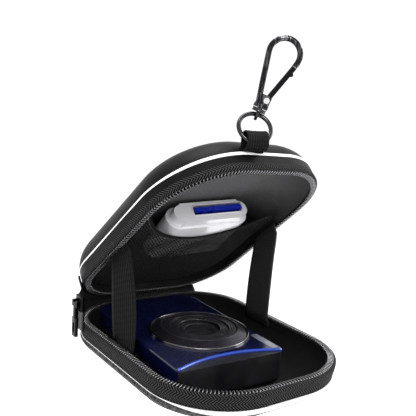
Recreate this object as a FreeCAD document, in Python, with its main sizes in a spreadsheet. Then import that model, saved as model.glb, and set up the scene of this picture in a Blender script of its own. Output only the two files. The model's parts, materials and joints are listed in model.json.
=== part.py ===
"""Compact camera in a zip carrying case with a snap hook, a mesh pocket and a card reader.

All lengths are millimetres.  X runs across the case, Y runs from the front edge (-Y) to the hinge
end (+Y) and Z is up.  The origin is the centre of the tray's flat underside.  The tray, the camera
and the zip slider are drawn where they stand.  The lid and what it carries are drawn closed and
turned open about the hinge by LID.
"""
import FreeCAD
import Part
import Sketcher
import math
import os

V = FreeCAD.Vector
Rot = FreeCAD.Rotation
Place = FreeCAD.Placement
X, Y, Z = V(1, 0, 0), V(0, 1, 0), V(0, 0, 1)
IDENTITY = Place()

# ---------------------------------------------------------------- driving dimensions
DIMS = {
    # case
    "half_width": 44.2,
    "half_depth": 57.7,
    "front_radius": 33.2,
    "back_radius": 27.2,
    "rim_height": 15.5,
    "lid_height": 20.5,
    "parting_gap": 0.4,
    "wall_offset": 0.5,
    "shell_outside": 0.0,
    "shell_inside": 1.2,
    "lining_outside": 1.3,
    "lining_inside": 2.1,
    "tray_bevel": 7.5,
    "tray_round": 5.5,
    "lid_round": 14.0,
    "band_height": 7.5,
    "band_inner": 0.6,
    "band_taper": 1.1,
    "band_outer": 2.0,
    "piping_size": 1.8,
    "coil_width": 2.9,
    "coil_height": 1.6,
    "strap_width": 17.0,
    "strap_thick": 0.9,
    "mesh_thick": 0.5,
    "mouth_radius": 40.0,
    # hardware
    "webbing_width": 9.4,
    "webbing_thick": 0.8,
    "webbing_eye": 3.4,
    "ring_radius": 7.0,
    "ring_wire": 0.95,
    "eye_radius": 2.0,
    "eye_wire": 0.7,
    "stem_radius": 1.1,
    "running_gap": 0.05,
    "collar_radius": 3.2,
    "hook_wire": 1.25,
    "bow_radius": 6.5,
    "bow_height": 26.9,
    "rivet_radius": 0.75,
    "gate_width": 2.2,
    # camera
    "cam_width": 54.0,
    "cam_length": 82.0,
    "cam_thick": 15.5,
    "cam_split": 8.4,
    "cam_wall": 1.4,
    "cam_corner": 3.0,
    "cam_back_corner": 10.0,
    "lens_trim": 23.2,
    "bezel_top": 17.9,
    "bezel_rise": 2.4,
    "outer_barrel": 17.0,
    "inner_barrel": 13.2,
    # card reader
    "reader_width": 46.0,
    "reader_length": 34.0,
    "reader_thick": 12.0,
    "card_width": 27.6,
    "card_thick": 2.1,
}

LID_TILT = 42.2
LID_YAW = 4.6
CAMERA_YAW = -2.42
READER_YAW = -7.0
WEBBING_YAW, WEBBING_LEAN = -18.0, 39.0
RING_YAW, RING_LEAN = -21.0, -36.0
HOOK_YAW, HOOK_LEAN = -36.1, 20.0

doc = FreeCAD.newDocument("zip_case")
sheet = doc.addObject("Spreadsheet::Sheet", "dims")
for row, (alias, value) in enumerate(DIMS.items(), 1):
    sheet.set("A%d" % row, alias)
    sheet.set("B%d" % row, str(value))
    sheet.setAlias("B%d" % row, alias)
doc.recompute()

parts = {}


# ---------------------------------------------------------------- helpers
def value_of(expression):
    """The number that a size stands for: a plain number, or an expression on the sheet."""
    if not isinstance(expression, str):
        return float(expression)
    total, sign = 0.0, 1.0
    for word in expression.replace(" * ", "*").split():
        if word in "+-":
            sign = 1.0 if word == "+" else -1.0
            continue
        factor = 1.0
        if "*" in word:
            number, word = word.split("*")
            factor = float(number)
        number = DIMS[word[5:]] if word.startswith("dims.") else float(word)
        total += sign * factor * number
        sign = 1.0
    return total


def bind(obj, prop, expression):
    if isinstance(expression, str):
        obj.setExpression(prop, expression)
    else:
        setattr(obj, prop, expression)


def keep(node, obj, placement=IDENTITY):
    """Register a finished piece under the name of its file and put it in place."""
    obj.Label = node
    obj.Placement = placement.multiply(obj.Placement)
    parts[node] = obj
    return obj


def box(name, size, low):
    obj = doc.addObject("Part::Box", name)
    for prop, expression in zip(("Length", "Width", "Height"), size):
        bind(obj, prop, expression)
    obj.Placement = Place(V(*low), Rot())
    return obj


def rod(name, radius, height, base, axis=Z):
    obj = doc.addObject("Part::Cylinder", name)
    bind(obj, "Radius", radius)
    bind(obj, "Height", height)
    obj.Placement = Place(V(*base), Rot(Z, V(*axis)))
    return obj


def cone(name, low_radius, high_radius, height, base):
    obj = doc.addObject("Part::Cone", name)
    bind(obj, "Radius1", low_radius)
    bind(obj, "Radius2", high_radius)
    bind(obj, "Height", height)
    obj.Placement = Place(V(*base), Rot())
    return obj


def torus(name, radius, wire, placement, start=0, sweep=360):
    obj = doc.addObject("Part::Torus", name)
    bind(obj, "Radius1", radius)
    bind(obj, "Radius2", wire)
    obj.Angle3 = sweep
    obj.Placement = placement.multiply(Place(V(0, 0, 0), Rot(Z, start)))
    return obj


def fuse(name, *objects):
    obj = doc.addObject("Part::MultiFuse", name)
    obj.Shapes = list(objects)
    obj.Refine = True
    return obj


def cut(name, base, *tools):
    tool = tools[0] if len(tools) == 1 else fuse(name + "_tools", *tools)
    obj = doc.addObject("Part::Cut", name)
    obj.Base, obj.Tool = base, tool
    return obj


def fillet(name, base, radius, picked):
    doc.recompute()
    obj = doc.addObject("Part::Fillet", name)
    obj.Base = base
    obj.Edges = [(n, radius, radius) for n, edge in enumerate(base.Shape.Edges, 1) if picked(edge)]
    return obj


def level(height):
    """A test for edges that lie in the plane Z = height."""
    return lambda edge: abs(edge.BoundBox.ZMin - height) < 1e-4 > abs(edge.BoundBox.ZMax - height)


def new_sketch(body, name, role, offset):
    sketch = body.newObject("Sketcher::SketchObject", name)
    plane = [f for f in body.Origin.OriginFeatures if f.Role == role][0]
    sketch.AttachmentSupport = [(plane, "")]
    sketch.MapMode = "FlatFace"
    sketch.AttachmentOffset = Place(V(0, 0, value_of(offset)), Rot())
    if isinstance(offset, str):
        sketch.setExpression("AttachmentOffset.Base.z", offset)
    return sketch


def add_outline(sketch, half_w, half_d, front_r, back_r):
    """A rounded rectangle round the origin with its own corner radii at the front and back."""
    w, d = value_of(half_w), value_of(half_d)
    f, b = value_of(front_r), value_of(back_r)
    first = sketch.GeometryCount
    corners = ((w, d, b, 0), (-w, d, b, 90), (-w, -d, f, 180), (w, -d, f, 270))
    ends = []
    for x, y, r, start in corners:
        centre = V(x - math.copysign(r, x), y - math.copysign(r, y), 0)
        low, high = math.radians(start), math.radians(start + 90)
        sketch.addGeometry(Part.ArcOfCircle(Part.Circle(centre, Z, r), low, high), False)
        ends.append([centre + V(r * math.cos(t), r * math.sin(t), 0) for t in (low, high)])
    for n in range(4):
        sketch.addGeometry(Part.LineSegment(ends[n][1], ends[(n + 1) % 4][0]), False)
    add = lambda *a: sketch.addConstraint(Sketcher.Constraint(*a))
    for n in range(4):
        line = first + 4 + n
        add("Tangent", first + n, 2, line, 1)
        add("Tangent", line, 2, first + (n + 1) % 4, 1)
        add("Horizontal" if n in (0, 2) else "Vertical", line)
    for n, size in enumerate((back_r, back_r, front_r, front_r)):
        index = add("Radius", first + n, value_of(size))
        if isinstance(size, str):
            sketch.setExpression("Constraints[%d]" % index, size)
    for kind, line, size, sign in (
        ("DistanceY", 0, half_d, 1),
        ("DistanceX", 1, half_w, -1),
        ("DistanceY", 2, half_d, -1),
        ("DistanceX", 3, half_w, 1),
    ):
        pair = (-1, 1, first + 4 + line, 1) if sign > 0 else (first + 4 + line, 1, -1, 1)
        index = add(kind, *pair, value_of(size))
        if isinstance(size, str):
            sketch.setExpression("Constraints[%d]" % index, size)


def case_outline(sketch, shift):
    """The plan of the case, moved outward by shift."""
    sizes = ("dims.half_width", "dims.half_depth", "dims.front_radius", "dims.back_radius")
    add_outline(sketch, *["%s + %s" % (size, shift) for size in sizes])


def pad(body, name, sketch, length):
    feature = body.newObject("PartDesign::Pad", name)
    feature.Profile = sketch
    bind(feature, "Length", length)
    doc.recompute()
    return feature


def dress(body, kind, name, size, picked):
    """A PartDesign fillet or chamfer on the edges of the tip that picked accepts."""
    doc.recompute()
    base = body.Tip
    edges = ["Edge%d" % n for n, edge in enumerate(base.Shape.Edges, 1) if picked(edge)]
    feature = body.newObject("PartDesign::" + kind, name)
    feature.Base = (base, edges)
    bind(feature, "Radius" if kind == "Fillet" else "Size", size)
    body.Tip = feature
    doc.recompute()
    return feature


def new_body(name):
    return doc.addObject("PartDesign::Body", name)


def case_ring(node, outer, inner, low, height, round_top, round_low, placement, taper_z=None):
    """A band that follows the plan of the case between two offsets from its rim line."""
    body = new_body(node)
    sketch = new_sketch(body, node + "_plan", "XY_Plane", low)
    case_outline(sketch, outer)
    case_outline(sketch, inner)
    pad(body, node + "_pad", sketch, height)
    beyond = value_of(outer) - 0.3
    wide, deep = DIMS["half_width"] + beyond, DIMS["half_depth"] + beyond
    for name, radius, z in (
        ("_top", round_top, value_of(low) + value_of(height)),
        ("_low", round_low, value_of(low)),
    ):
        if radius:
            at_z = level(z)
            dress(body, "Fillet", node + name, radius,
                  lambda e: at_z(e) and (max(e.BoundBox.XMax, -e.BoundBox.XMin) > wide
                                         or abs(e.BoundBox.Center.y) > deep))
    if taper_z is not None:
        at_z = level(taper_z)
        taper = dress(body, "Chamfer", node + "_taper", "dims.band_taper",
                      lambda e: at_z(e) and (max(e.BoundBox.XMax, -e.BoundBox.XMin) > wide
                                             or abs(e.BoundBox.Center.y) > deep))
        taper.ChamferType = "Two distances"
        taper.FlipDirection = True
        taper.setExpression("Size2", "dims.band_height - 1.6")
        doc.recompute()
    return keep(node, body, placement)


def rounded_slab(name, half_w, half_d, corner, low, height, placement=None, back_corner=None):
    body = new_body(name)
    sketch = new_sketch(body, name + "_plan", "XY_Plane", low)
    add_outline(sketch, half_w, half_d, corner, back_corner or corner)
    pad(body, name + "_pad", sketch, height)
    if placement:
        body.Placement = placement
    return body


def slab_between(name, outer, inner):
    """A closed solid between two grids of points, for cloth that is drawn as it hangs."""
    rows, cols = len(outer), len(outer[0])
    faces = []

    def quad(a, b, c, d):
        for corners in ((a, b, c), (a, c, d)):
            faces.append(Part.Face(Part.makePolygon(list(corners) + [corners[0]])))

    for i in range(rows - 1):
        for j in range(cols - 1):
            quad(outer[i][j], outer[i + 1][j], outer[i + 1][j + 1], outer[i][j + 1])
            quad(inner[i][j], inner[i][j + 1], inner[i + 1][j + 1], inner[i + 1][j])
    for i in range(rows - 1):
        for j in (0, cols - 1):
            quad(outer[i][j], outer[i + 1][j], inner[i + 1][j], inner[i][j])
    for j in range(cols - 1):
        for i in (0, rows - 1):
            quad(outer[i][j], outer[i][j + 1], inner[i][j + 1], inner[i][j])
    shell = Part.Shell(faces)
    shell.sewShape()
    solid = Part.Solid(shell)
    if solid.Volume < 0:
        solid.reverse()
    obj = doc.addObject("Part::Feature", name)
    obj.Shape = solid
    return obj


# ---------------------------------------------------------------- placements
RIM = DIMS["rim_height"]
LID_RIM = RIM + DIMS["parting_gap"]
PIVOT = V(0, DIMS["half_depth"] + 1.5, RIM + DIMS["parting_gap"] / 2)
LID_TURN = Rot(X, -LID_TILT).multiply(Rot(Z, LID_YAW))
LID = Place(PIVOT - LID_TURN.multVec(PIVOT) + V(0.6, 0, 0), LID_TURN)
CAMERA = Place(V(-8.6, 5.4, 2.6), Rot(Z, CAMERA_YAW))
READER = LID.multiply(Place(V(6.0, -8.0, LID_RIM + 11.7), Rot(Z, READER_YAW)))
WEBBING = Place(LID.multVec(V(-9.0, -58.3, LID_RIM + 9.6)),
                Rot(Z, WEBBING_YAW).multiply(Rot(X, WEBBING_LEAN)))
EYE_OFFSET = V(0, 0.7, 6.2)
RING_TURN = Rot(Z, RING_YAW).multiply(Rot(X, RING_LEAN))
RING_PIVOT = WEBBING.multVec(EYE_OFFSET + V(0.6, 0, 0))
RING_CENTRE = RING_PIVOT + RING_TURN.multVec(V(0, 0, DIMS["ring_radius"] - 0.9))
RING = Place(RING_CENTRE, RING_TURN)
EYE_ANGLE = math.radians(75)
EYE = RING.multVec(V(math.cos(EYE_ANGLE), 0, math.sin(EYE_ANGLE)) * DIMS["ring_radius"])
HOOK = Place(EYE, Rot(Z, HOOK_YAW).multiply(Rot(Y, HOOK_LEAN)))
LEVEL_TO_FRONT = Rot(X, 90)


# ---------------------------------------------------------------- case shells
def tray_tub(name, inset, top):
    """The tray's bowl, set in from the outside face by inset: upright rim, bevel, flat base."""
    shrink = value_of(inset)
    body = new_body(name)
    sketch = new_sketch(body, name + "_plan", "XY_Plane", shrink)
    case_outline(sketch, "dims.wall_offset - %s" % inset)
    pad(body, name + "_pad", sketch, "%s - %s" % (top, inset))
    bevel = DIMS["tray_bevel"] - 0.586 * shrink
    dress(body, "Chamfer", name + "_bevel", bevel, level(shrink))
    dress(body, "Fillet", name + "_foot", DIMS["tray_round"] - shrink, level(shrink))
    dress(body, "Fillet", name + "_hip", DIMS["tray_round"] - shrink, level(shrink + bevel))
    return body


def lid_tub(name, inset, low):
    """The lid's dome, drawn closed: upright rim and one large round up to the crown."""
    shrink = value_of(inset)
    crown = LID_RIM + DIMS["lid_height"] - shrink
    body = new_body(name)
    sketch = new_sketch(body, name + "_plan", "XY_Plane", low)
    case_outline(sketch, "dims.wall_offset - %s" % inset)
    pad(body, name + "_pad", sketch, crown - low)
    dress(body, "Fillet", name + "_crown", DIMS["lid_round"] - shrink, level(crown))
    return body


for skin, lip in (("shell", 1.7), ("lining", 2.1)):
    outside, inside = "dims.%s_outside" % skin, "dims.%s_inside" % skin
    outer = tray_tub("tray_%s_out" % skin, outside, "dims.rim_height - %s" % lip)
    inner = tray_tub("tray_%s_in" % skin, inside, "dims.rim_height + 1.0")
    keep("tray_" + skin, cut("tray_%s_cut" % skin, outer, inner))
    outer = lid_tub("lid_%s_out" % skin, outside, LID_RIM + lip)
    inner = lid_tub("lid_%s_in" % skin, inside, LID_RIM - 1.0)
    keep("lid_" + skin, cut("lid_%s_cut" % skin, outer, inner), LID)

# ---------------------------------------------------------------- zip bands, piping and coils
LID_BAND_TOP = LID_RIM + DIMS["band_height"]
BAND_LOW = "dims.rim_height - dims.band_height"
case_ring("tray_zip_band", "dims.band_outer", "dims.band_inner", BAND_LOW, "dims.band_height",
          1.0, 0, IDENTITY, RIM - DIMS["band_height"])
case_ring("lid_zip_band", "dims.band_outer", "dims.band_inner", LID_RIM, "dims.band_height",
          0, 1.0, LID, LID_BAND_TOP)
case_ring("tray_piping", "dims.band_inner + dims.piping_size - 0.4", "dims.band_inner",
          BAND_LOW + " - dims.piping_size - 0.05", "dims.piping_size", 0.7, 0.7, IDENTITY)
case_ring("lid_piping", "dims.band_inner + dims.piping_size - 0.4", "dims.band_inner",
          LID_BAND_TOP + 0.05, "dims.piping_size", 0.7, 0.7, LID)
case_ring("tray_zip_coil", "dims.band_inner - 0.1", "dims.band_inner - dims.coil_width",
          "dims.rim_height - dims.coil_height", "dims.coil_height", 0, 0, IDENTITY)
case_ring("lid_zip_coil", "dims.band_inner - 0.1", "dims.band_inner - dims.coil_width",
          LID_RIM, "dims.coil_height", 0, 0, LID)

# ---------------------------------------------------------------- hinge cloth and stays
HINGE_REACH = 30.0
CLOTH = 0.9


def edge_point(s, off):
    """A point and outward normal on the plan outline, s mm round from the middle of the back."""
    r = DIMS["back_radius"] + off
    flat = DIMS["half_width"] - DIMS["back_radius"]
    y = DIMS["half_depth"] + off
    side = math.copysign(1, s)
    s = abs(s)
    if s <= flat:
        return V(side * s, y, 0), V(0, 1, 0)
    turn = min((s - flat) / DIMS["back_radius"], math.pi / 2)
    rest = max(0.0, s - flat - DIMS["back_radius"] * math.pi / 2)
    out = V(side * math.sin(turn), math.cos(turn), 0)
    centre = V(side * flat, y - r, 0)
    return centre + out * r - V(0, rest, 0), out


def hinge_grid(off):
    rows = []
    flat = DIMS["half_width"] - DIMS["back_radius"]
    left, right = flat + DIMS["back_radius"] * 1.2, flat + DIMS["back_radius"] * 0.54
    stations = [-left + (left + right) * n / 24 for n in range(25)]
    for s in stations:
        p, out = edge_point(s, off)
        tray = [p + Z * z for z in (RIM - 5.5, RIM - 2.5, RIM - 0.2)]
        lid = [LID.multVec(p + Z * z) for z in (LID_RIM + 0.2, LID_RIM + 2.5, LID_RIM + 5.5)]
        middle = (tray[-1] + lid[0]) * 0.5 + out * 0.6
        rows.append(tray + [middle] + lid)
    return rows


keep("hinge_spine", slab_between("hinge_cloth", hinge_grid(DIMS["band_outer"] + 0.2 + CLOTH),
                                 hinge_grid(DIMS["band_outer"] + 0.2)))


def strap_grid(side, tray_y, lid_y, x_shift):
    """Width-wise rows of a stay that runs from the tray's side wall to the lid's side wall."""
    half = DIMS["strap_width"] / 2
    wall, edge = 42.4, 40.9
    grid = []
    for y_shift in (-half, 0, half):
        tray = [V(side * (x + x_shift), tray_y + y_shift, z)
                for x, z in ((wall, 9.9), (wall, 12.1), (edge, 13.9), (edge, RIM + 1))]
        lid = [LID.multVec(V(side * (x + x_shift), lid_y + y_shift, z))
               for x, z in ((edge, LID_RIM - 1), (edge, LID_RIM + 0.9), (wall, LID_RIM + 2.2),
                            (wall, LID_RIM + 3.3))]
        grid.append(tray + [tray[-1] * 0.5 + lid[0] * 0.5] + lid)
    return grid


for side, name, tray_y, lid_y in ((-1, "strap_left", 4.0, 9.0), (1, "strap_right", 11.4, -2.5)):
    cloth = slab_between(name + "_cloth", strap_grid(side, tray_y, lid_y, 0),
                         strap_grid(side, tray_y, lid_y, -DIMS["strap_thick"]))
    keep(name, cloth)

# ---------------------------------------------------------------- mesh pocket
MESH_Z = LID_RIM + 4.9


def pocket_slab(name, low, height, inset):
    body = new_body(name)
    sketch = new_sketch(body, name + "_plan", "XY_Plane", low)
    case_outline(sketch, "dims.wall_offset - dims.lining_inside - %s" % inset)
    pad(body, name + "_pad", sketch, height)
    return body


mouth = rod("mesh_mouth", "dims.mouth_radius + 2.4", 20, (0, -34, MESH_Z - 5))
front_half = box("mesh_front", (120, 60, 20), (-60, -73.5, MESH_Z - 5))
keep("mesh_pocket", cut("mesh_cut", pocket_slab("mesh_sheet", MESH_Z, "dims.mesh_thick", 0.15),
                        mouth, front_half), LID)
hem_hole = rod("hem_hole", "dims.mouth_radius + 0.1", 20, (0, -34, MESH_Z - 5))
hem_out = rod("hem_out", "dims.mouth_radius + 2.3", "dims.mesh_thick", (0, -34, MESH_Z))
hem_front = box("hem_front", (120, 60, 20), (-60, -73.5, MESH_Z - 5))
hem = cut("hem_ring", hem_out, hem_hole, hem_front)
common = doc.addObject("Part::Common", "hem_common")
common.Base, common.Tool = pocket_slab("hem_limit", MESH_Z - 2, 4, 0.3), hem
keep("pocket_binding", common, LID)

# ---------------------------------------------------------------- webbing loop, ring, snap hook
LOOP = LID.inverse().multiply(WEBBING)
plies = [rod("webbing_out", "dims.webbing_eye + dims.webbing_thick", "dims.webbing_width",
             (-DIMS["webbing_width"] / 2, EYE_OFFSET.y, EYE_OFFSET.z), X),
         box("webbing_tab", ("dims.webbing_width", "2 * dims.webbing_thick", 7.6),
             (-DIMS["webbing_width"] / 2, -0.2, -4.0))]
eye_hole = rod("webbing_hole", "dims.webbing_eye", "dims.webbing_width + 2",
               (-DIMS["webbing_width"] / 2 - 1, EYE_OFFSET.y, EYE_OFFSET.z), X)
for piece in plies + [eye_hole]:
    piece.Placement = LOOP.multiply(piece.Placement)
ledge = new_body("webbing_ledge")
ledge_plan = new_sketch(ledge, "webbing_ledge_plan", "XY_Plane", LID_RIM)
case_outline(ledge_plan, "dims.band_outer + 0.5")
pad(ledge, "webbing_ledge_pad", ledge_plan, DIMS["band_height"] + DIMS["piping_size"] + 0.15)
keep("webbing_loop", cut("webbing_cut", fuse("webbing_plies", *plies), eye_hole, ledge,
                         lid_tub("webbing_seat", "-0.1", LID_RIM + 4)), LID)

keep("key_ring", torus("ring_wire", "dims.ring_radius", "dims.ring_wire",
                       RING.multiply(Place(V(0, 0, 0), LEVEL_TO_FRONT))))

eye_loop = torus("eye_loop", "dims.eye_radius", "dims.eye_wire", Place(V(0, 0, 0), Rot(Y, 90)))
stem = rod("eye_stem", "dims.stem_radius", 2.6, (0, 0, 2.2))
head = rod("eye_head", 1.9, 0.5, (0, 0, 4.6))
keep("swivel_eye", fuse("eye_fused", eye_loop, stem, head), HOOK)

bow_z = DIMS["bow_height"]
root = V(-1.7, 0, 5.0)
reach = V(0, 0, bow_z) - root
spread = math.asin(DIMS["bow_radius"] / reach.Length)
leg_length = math.sqrt(reach.Length ** 2 - DIMS["bow_radius"] ** 2)
leg_turn = math.atan2(reach.x, reach.z) - spread
leg_axis = V(math.sin(leg_turn), 0, math.cos(leg_turn))
collar = rod("hook_collar", "dims.collar_radius", 1.7, (0, 0, 2.95))
yoke = rounded_slab("hook_yoke", 2.9, 2.4, 0.9, 4.4, 4.4)
long_leg = rod("hook_leg", "dims.hook_wire", leg_length, root, leg_axis)
open_angle = math.degrees(leg_turn)
bow = torus("hook_bow", "dims.bow_radius", "dims.hook_wire",
            Place(V(0, 0, bow_z), LEVEL_TO_FRONT), open_angle, 180 - 2 * open_angle)
nose_top = V(0, 0, bow_z) + V(math.cos(leg_turn), 0, math.sin(leg_turn)) * DIMS["bow_radius"]
nose_axis = V(leg_axis.x, 0, -leg_axis.z)
nose = rod("hook_nose", "dims.hook_wire", 1.6, nose_top, nose_axis)
bore = rod("hook_bore", "dims.stem_radius + dims.running_gap", 2.2, (0, 0, 2.8))
chamber = rod("hook_chamber", 2.15, 0.75, (0, 0, 4.5))
slot = box("hook_slot", (6.0, 2.7, 6.0), (-0.3, -1.35, 5.2))
rivet_hole = rod("hook_rivet_hole", "dims.rivet_radius", 8, (1.1, -4, 6.7), Y)
keep("hook_frame", cut("hook_cut", fuse("hook_solid", collar, yoke, long_leg, bow, nose),
                       bore, chamber, slot, rivet_hole), HOOK)
rivet_pin = rod("rivet_pin", "dims.rivet_radius", 4.8, (1.1, -2.4, 6.7), Y)
rivet_heads = [rod("rivet_head_%d" % n, 1.25, 0.4, (1.1, y, 6.7), Y)
               for n, y in enumerate((-2.8, 2.4))]
keep("gate_rivet", fuse("rivet_fused", rivet_pin, *rivet_heads), HOOK)

GATE_TOP = nose_top + nose_axis * 1.8
gate_run = GATE_TOP - V(1.1, 0, 6.7)
gate_turn = math.degrees(math.atan2(gate_run.x, gate_run.z))
gate_bar = box("gate_bar", ("dims.gate_width", 2.4, gate_run.Length - 0.5),
               (-DIMS["gate_width"] / 2, -1.2, 0.5))
gate_boss = rod("gate_boss", 1.3, 2.4, (0, -1.2, 0), Y)
gate_nub = rod("gate_nub", 0.9, 3.6, (0.9, -1.8, gate_run.Length - 3.2), Y)
gate_bore = rod("gate_bore", "dims.rivet_radius + dims.running_gap", 4, (0, -2, 0), Y)
gate_channel = box("gate_channel", (1.0, 1.2, gate_run.Length - 3.4), (0.35, -0.6, 2.2))
GATE = HOOK.multiply(Place(V(1.1, 0, 6.7), Rot(Y, gate_turn)))
keep("hook_gate", cut("gate_cut", fuse("gate_solid", gate_bar, gate_boss, gate_nub),
                      gate_bore, gate_channel), GATE)

# ---------------------------------------------------------------- zip slider and its puller
SLIDER = Place(V(-46.6, 33.0, RIM - 15.5), Rot())
shoe = rounded_slab("slider_shoe", 0.5, 2.6, 0.4, 12.6, 11.5, Place(V(-0.6, 0, 0), Rot()))
crown = rounded_slab("slider_crown", 1.2, 3.2, 0.8, 22.4, 7.0, Place(V(-1.3, 0, 0), Rot()))
lugs = [box("slider_lug_%d" % n, (2.4, 1.0, 3.0), (-4.5, y, 24.6)) for n, y in enumerate((-2.4, 1.4))]
lug_pin = rod("slider_pin", 0.55, 3.4, (-3.7, -1.7, 26.2), Y)
keep("zip_slider", fuse("slider_fused", shoe, crown, lug_pin, *lugs), SLIDER)
pull_bar = rounded_slab("pull_bar", 0.9, 1.15, 0.5, 11.4, 15.45, Place(V(-3.7, 0, 0), Rot()))
pull_grip = rounded_slab("pull_grip", 0.85, 2.1, 0.6, 10.4, 9.0, Place(V(-3.7, 0, 0), Rot()))
pull_bore = rod("pull_bore", "0.55 + dims.running_gap", 4, (-3.7, -2, 26.2), Y)
pull_window = box("pull_window", (4, 1.8, 4.5), (-5.7, -0.9, 12.4))
keep("zip_puller", cut("pull_cut", fuse("pull_solid", pull_bar, pull_grip), pull_bore, pull_window),
     SLIDER)

# ---------------------------------------------------------------- camera
HALF_W, HALF_L = DIMS["cam_width"] / 2, DIMS["cam_length"] / 2
SPLIT, TOP, WALL = DIMS["cam_split"], DIMS["cam_thick"], DIMS["cam_wall"]
SCOOP_DEPTH, SCOOP_START = 6.0, 0.8
SCOOP_RADIUS = (HALF_W ** 2 + SCOOP_DEPTH ** 2) / (2 * SCOOP_DEPTH)
SCOOP_Y = -HALF_L + SCOOP_START + SCOOP_DEPTH - SCOOP_RADIUS
LENS_X, LENS_Y = 3.6, -7.7
SIDE_Z = 4.9


def cover_slab(name, inset, low, height):
    sizes = ["0.5 * dims.%s - %s" % (key, inset) for key in ("cam_width", "cam_length")]
    corners = ["dims.%s - %s" % (key, inset) for key in ("cam_corner", "cam_back_corner")]
    return rounded_slab(name, *sizes, corners[0], low, height, back_corner=corners[1])


def scoop(name, grow):
    return rod(name, SCOOP_RADIUS + grow, 30, (0, SCOOP_Y, -5))


rear = cover_slab("rear_out", 0.0, 0.0, "dims.cam_split")
dress(rear, "Fillet", "rear_edge", 2.9, level(0))
end_cap = doc.addObject("Part::Common", "end_cap")
end_cap.Base = cover_slab("cap_slab", 0.0, SPLIT - 0.6, TOP - SPLIT - 0.4)
end_cap.Tool = scoop("cap_scoop", -0.1)
rear_solid = fuse("rear_solid", rear, end_cap)
rear_well = cover_slab("rear_well", WALL, WALL, SPLIT)
SHUTTER_Y, POWER_Y = 27.0, 14.0
SCREWS = [(side, y) for side in (-1, 1) for y in (-33.0, -19.0)]
rear_holes = [
    rod("shutter_hole", 2.9, 6, (HALF_W - 4, SHUTTER_Y, SIDE_Z), X),
    rod("power_hole", 1.9, 6, (HALF_W - 4, POWER_Y, SIDE_Z), X),
    rod("bush_hole", 3.4, 6, (-HALF_W - 1, -6, SIDE_Z), X),
    box("door_hole", (4, 20.4, 4.4), (-HALF_W - 1, 15.8, 3.3)),
    box("lcd_hole", (38.2, 48.2, 4), (-19.1, -36.1, -1)),
    rod("pad_hole", 6.6, 4, (-6, 27, -1)),
    rod("menu_hole", 2.3, 4, (11, 34, -1)),
    rod("play_hole", 2.3, 4, (11, 20, -1)),
]
rear_holes += [rod("screw_hole_%d" % n, 1.35, 4, (side * HALF_W - 2, y, SIDE_Z), X)
               for n, (side, y) in enumerate(SCREWS)]
keep("camera_rear", cut("rear_cut", rear_solid, rear_well, *rear_holes), CAMERA)

front = cover_slab("front_out", 0.0, "dims.cam_split + 0.1", "dims.cam_thick - dims.cam_split - 0.1")
dress(front, "Fillet", "front_edge", 0.9, level(TOP))
front_well = cut("front_well", cover_slab("front_space", WALL, SPLIT, TOP - WALL - SPLIT),
                 scoop("well_scoop", WALL + 0.1))
keep("camera_front", cut("front_cut", front, scoop("front_scoop", 0.1), front_well,
                         rod("lens_hole", "dims.outer_barrel + 0.3", 12, (LENS_X, LENS_Y, 8)),
                         box("flash_hole", (3.6, 16.4, 4), (22.4, -37.9, TOP - 2.6)),
                         rod("lamp_hole", 1.3, 4, (21.5, 19, TOP - 2.6))), CAMERA)
flash_window = rounded_slab("flash_slab", 1.75, 8.15, 0.7, TOP - 1.3, 1.35, Place(V(24.2, -29.7, 0), Rot()))
keep("flash_window", flash_window, CAMERA)
trough = rod("flash_trough", 1.1, 13, (24.0, -36, TOP - 2.0), Y)
keep("flash_reflector", cut("flash_block", box("flash_case", (2.6, 13.4, 4.4), (22.7, -36.2, TOP - 6.0)),
                            trough), CAMERA)
keep("timer_lamp", rod("lamp", 1.25, 1.5, (21.5, 19, TOP - 1.45)), CAMERA)

trim_bore = rod("trim_bore", "dims.lens_trim - 0.75", 4, (LENS_X, LENS_Y, TOP - 1.6))
keep("lens_trim_ring", cut("trim_cut", rod("trim_disc", "dims.lens_trim", 0.6,
                                           (LENS_X, LENS_Y, TOP + 0.02)), trim_bore), CAMERA)
bezel_cone = cone("bezel_cone", "dims.lens_trim - 0.8", "dims.bezel_top", "dims.bezel_rise",
                  (LENS_X, LENS_Y, TOP + 0.02))
bezel_bore = rod("bezel_bore", "dims.outer_barrel + 0.3", 10, (LENS_X, LENS_Y, TOP - 3.6))
keep("lens_bezel", cut("bezel_cut", bezel_cone, bezel_bore), CAMERA)


def tube(name, outer, inner, low, height):
    """A plain sleeve on the lens axis."""
    wall = rod(name + "_wall", outer, height, (LENS_X, LENS_Y, low))
    return cut(name + "_tube", wall, rod(name + "_bore", inner, height + 2, (LENS_X, LENS_Y, low - 1)))


keep("lens_housing", tube("housing", "dims.outer_barrel + 1.5", "dims.outer_barrel + 0.3", 5.3, 8.7), CAMERA)
keep("lens_barrel_outer", tube("outer", "dims.outer_barrel", "dims.inner_barrel + 0.3", 6.0, 11.6), CAMERA)
keep("lens_barrel_inner", tube("inner", "dims.inner_barrel", 9.6, 6.4, 10.8), CAMERA)
keep("lens_glass", rod("glass_disc", 9.5, 1.6, (LENS_X, LENS_Y, 13.1)), CAMERA)
blades = [box("blade_%d" % n, (18.4, 9.0, 0.5), (LENS_X - 9.2, LENS_Y + y, 15.5))
          for n, y in enumerate((-9.1, 0.1))]
blade_disc = rod("blade_disc", 9.4, 4, (LENS_X, LENS_Y, 14))
blade_common = doc.addObject("Part::Common", "blade_common")
blade_common.Base, blade_common.Tool = fuse("blade_pair", *blades), blade_disc
keep("lens_shutter_blades", blade_common, CAMERA)
keep("image_sensor", box("sensor", (13, 11, 0.8), (LENS_X - 6.5, LENS_Y - 5.5, 4.5)), CAMERA)
keep("main_board", box("board", (44, 50, 0.9), (-20, -38, 3.5)), CAMERA)
keep("lcd_panel", box("panel", (40, 49, 1.7), (-20, -36.5, 1.6)), CAMERA)
keep("lcd_window", box("window", (38, 48, 1.4), (-19, -36, 0.1)), CAMERA)
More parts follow.
